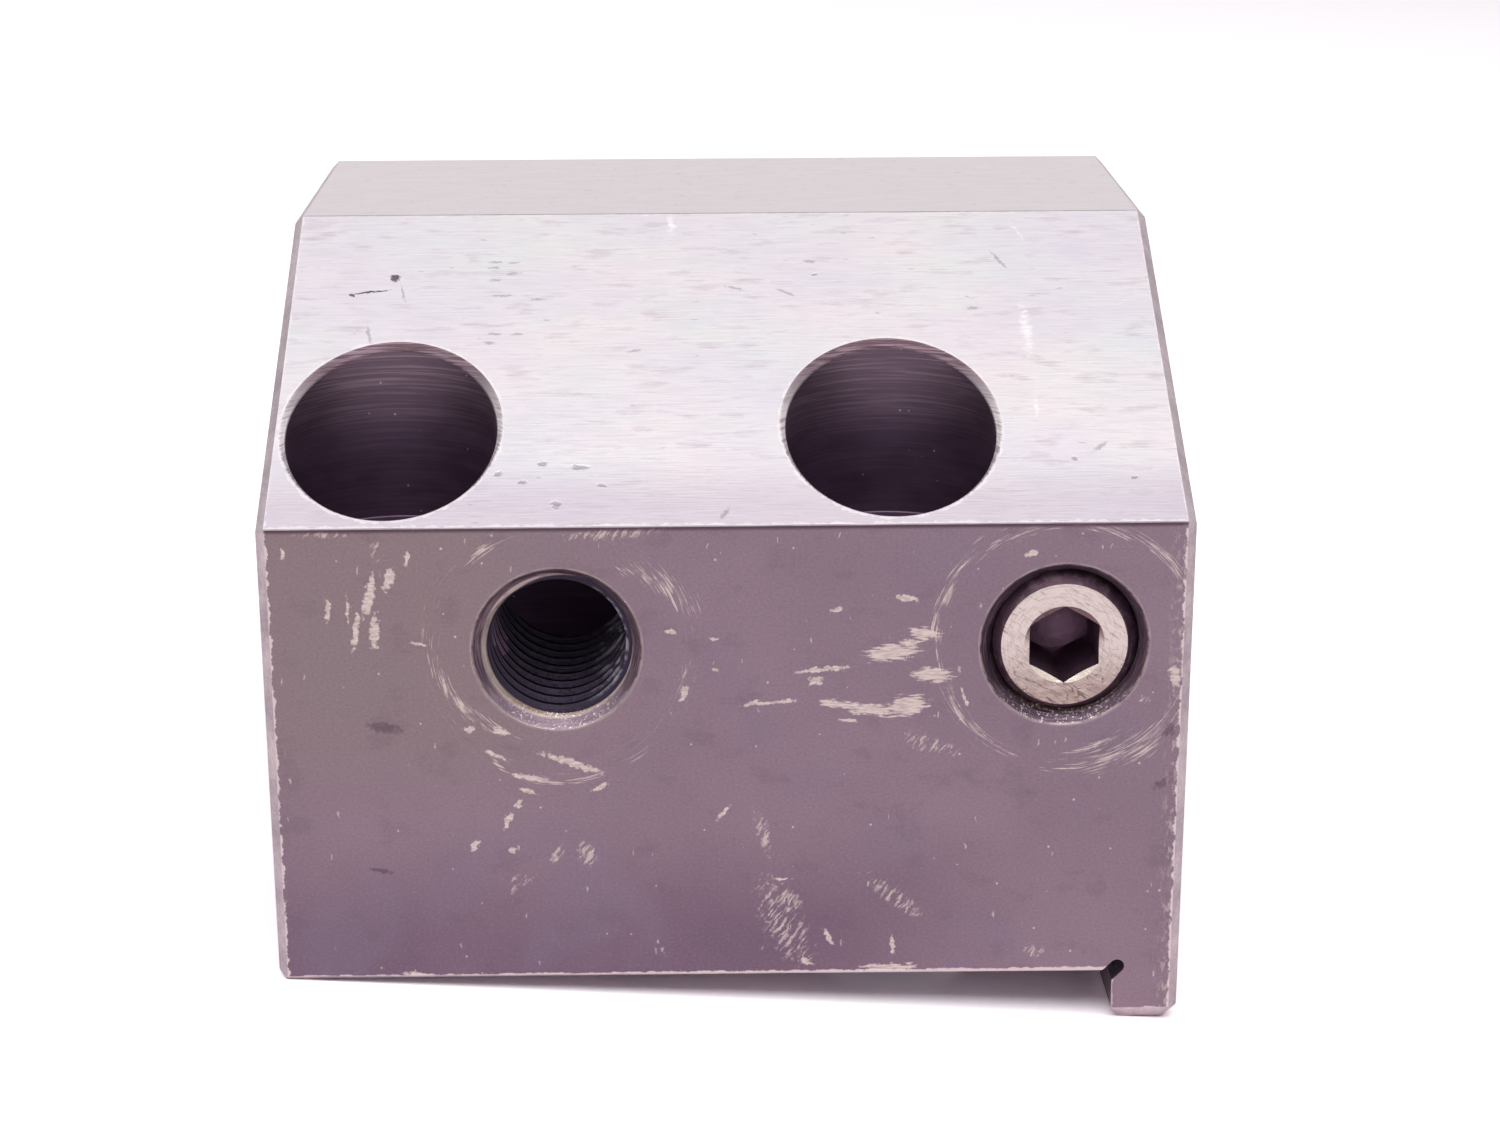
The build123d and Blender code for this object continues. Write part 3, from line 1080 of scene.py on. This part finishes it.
def dressBlock(block):
    # each face gets the finish of the surface that it belongs to, found by its place and direction
    makers = {"front": makeFrontSteel, "side": makeSideSteel, "edge": makeEdgeSteel,
              "ground": makeGroundSteel, "bored": makeBoredSteel, "rim": makeRimSteel,
              "tapped": makeTappedSteel}
    for make in makers.values():
        block.data.materials.append(make())
    near, square = 0.02, 0.9999

    def finish(middle, normal):
        if normal.dot(slopeNormal) > square or normal.z > square and middle.z > blockHigh.z - near:
            return "ground"
        if normal.y < -square and middle.y < blockLow.y + near:
            return "front"
        faces = [(normal.y, middle.y, blockHigh.y), (normal.x, middle.x, blockHigh.x),
                 (-normal.x, -middle.x, -blockLow.x), (-normal.z, -middle.z, 0),
                 (-normal.z, -middle.z, -blockLow.z),
                 (-normal.x, -middle.x, holder["lipWidth"] - blockHigh.x)]
        if any(facing > square and abs(place - plane) < near for facing, place, plane in faces):
            return "side"
        inHead = min(hypot(middle.x - bolt.x, middle.y - bolt.y) for bolt in boltPlaces)
        belowRim = abs(normal.z) < near or middle.z < holder["headFloor"] + 1
        if inHead < holder["headRadius"] + near and belowRim:
            return "bored"
        if inHead < holder["headRadius"] + holder["rimChamfer"] + 0.2 and middle.z > holder["headFloor"]:
            return "rim"
        if hypot(middle.y - barPlace.y, middle.z - barPlace.z) < barRadius + near:
            return "bored"
        corner = blockHigh.x - holder["lipWidth"]
        if hypot(middle.x - corner, middle.z) < holder["reliefReach"] + holder["reliefWidth"] / 2 + near:
            return "bored"
        out = min(hypot(middle.x - hole.x, middle.z - hole.z) for hole in (openHole, screwHole))
        if middle.y < 0 and out < thread["mouthRadius"] + near:
            return "tapped"
        return "edge"

    for face in block.data.polygons:
        face.material_index = list(makers).index(finish(face.center, face.normal))


def dressScrew(piece):
    for make in (makeScrewDark, makeScrewFace):
        piece.data.materials.append(make())
    for face in piece.data.polygons:
        out = hypot(face.center.x - screwHole.x, face.center.z - screwHole.z)
        onFace = face.center.y < screwLow.y + screw["faceRound"] and out < screw["faceRadius"]
        inMouth = face.normal.y < -0.3 and out < socketCorner and face.center.y < screwLow.y + 1
        face.material_index = int(onFace or inMouth)


studio = {  # places and sizes in metres, powers in watts
    "worldLight": 0.14,       # on the object; the camera and the metal's reflections see plain white
    "panelPlace": (0.0, -0.8, 2.0), "panelSize": 1.7, "panelPower": 20.0,
    "sidePlaces": [(-0.8, -0.4, 0.8), (0.8, -0.4, 0.8)], "sideSize": 0.6, "sidePower": 0.8,
    "floorSize": 6, "floorTint": (250, 245, 249),
    "floorLift": 2.8,         # as the camera sees it, so that it is white outside the shadow
    "floorShine": 2.3,        # as the metal reflects it
    "floorDim": 0.25,         # in the light that it throws back
}


def makeWorld():
    world = bpy.data.worlds.new("studio")
    bpy.context.scene.world = world
    world.use_nodes = True
    workOn(world.node_tree)
    rays = addNode("LightPath").outputs
    seen = reckon("MAXIMUM", rays["Is Camera Ray"],
                  reckon("MAXIMUM", rays["Is Glossy Ray"], rays["Is Transmission Ray"]))
    light = studio["worldLight"]
    strength = timesPlus(seen, 1 - light, light)
    plugIn(nodeTree.nodes["Background"], {"Color": (1, 1, 1, 1), "Strength": strength})


def addSoftbox(name, place, size, power):
    lamp = bpy.data.lights.new(name, "AREA")
    lamp.size = size
    lamp.energy = power
    softbox = bpy.data.objects.new(name, lamp)
    aim = Vector((0, 0, blockHigh.z / 2 * mm)) - Vector(place)
    softbox.matrix_world = Matrix.Translation(place) @ aim.to_track_quat("-Z", "Y").to_matrix().to_4x4()
    bpy.context.scene.collection.objects.link(softbox)


def makeFloor():
    # the holder stands on its left lower edge and its lip, so the floor is tilted in its frame
    edge = holder["edgeChamfer"]
    left = Vector((blockLow.x + edge, 0, 0)) * mm
    lip = Vector((blockHigh.x - holder["lipWidth"] + holder["lipChamfer"], 0, blockLow.z)) * mm
    tilt = atan2(left.z - lip.z, lip.x - left.x)
    takeUp(None)
    bpy.ops.mesh.primitive_plane_add(size=studio["floorSize"], location=left, rotation=(0, tilt, 0))
    floor = bpy.context.object
    floor.name = "floor"
    return floor


def dressFloor(floor):
    material = startMaterial("paperFloor")
    rays = addNode("LightPath").outputs
    dim = studio["floorDim"]
    lift = timesPlus(rays["Is Camera Ray"], studio["floorLift"] - dim, dim)
    lift = timesPlus(rays["Is Glossy Ray"], studio["floorShine"] - dim, lift)
    tint = scaled(colour(*studio["floorTint"])[:3], lift)
    shade(Base_Color=tint, Roughness=0.9, Specular_IOR_Level=0.0)
    floor.data.materials.append(material)


block = makeBlock()
closeMesh(block)
dressBlock(block)
finishPiece(block, "holder_block", "holder")
screwPiece = makeScrew()
closeMesh(screwPiece)
dressScrew(screwPiece)
finishPiece(screwPiece, "set_screw", "screw")
setCamera()
dressFloor(makeFloor())
makeWorld()
addSoftbox("panel", studio["panelPlace"], studio["panelSize"], studio["panelPower"])
for place in studio["sidePlaces"]:
    addSoftbox("sideSoftbox", place, studio["sideSize"], studio["sidePower"])
bpy.context.scene.view_settings.view_transform = "Standard"
print("lit the scene")
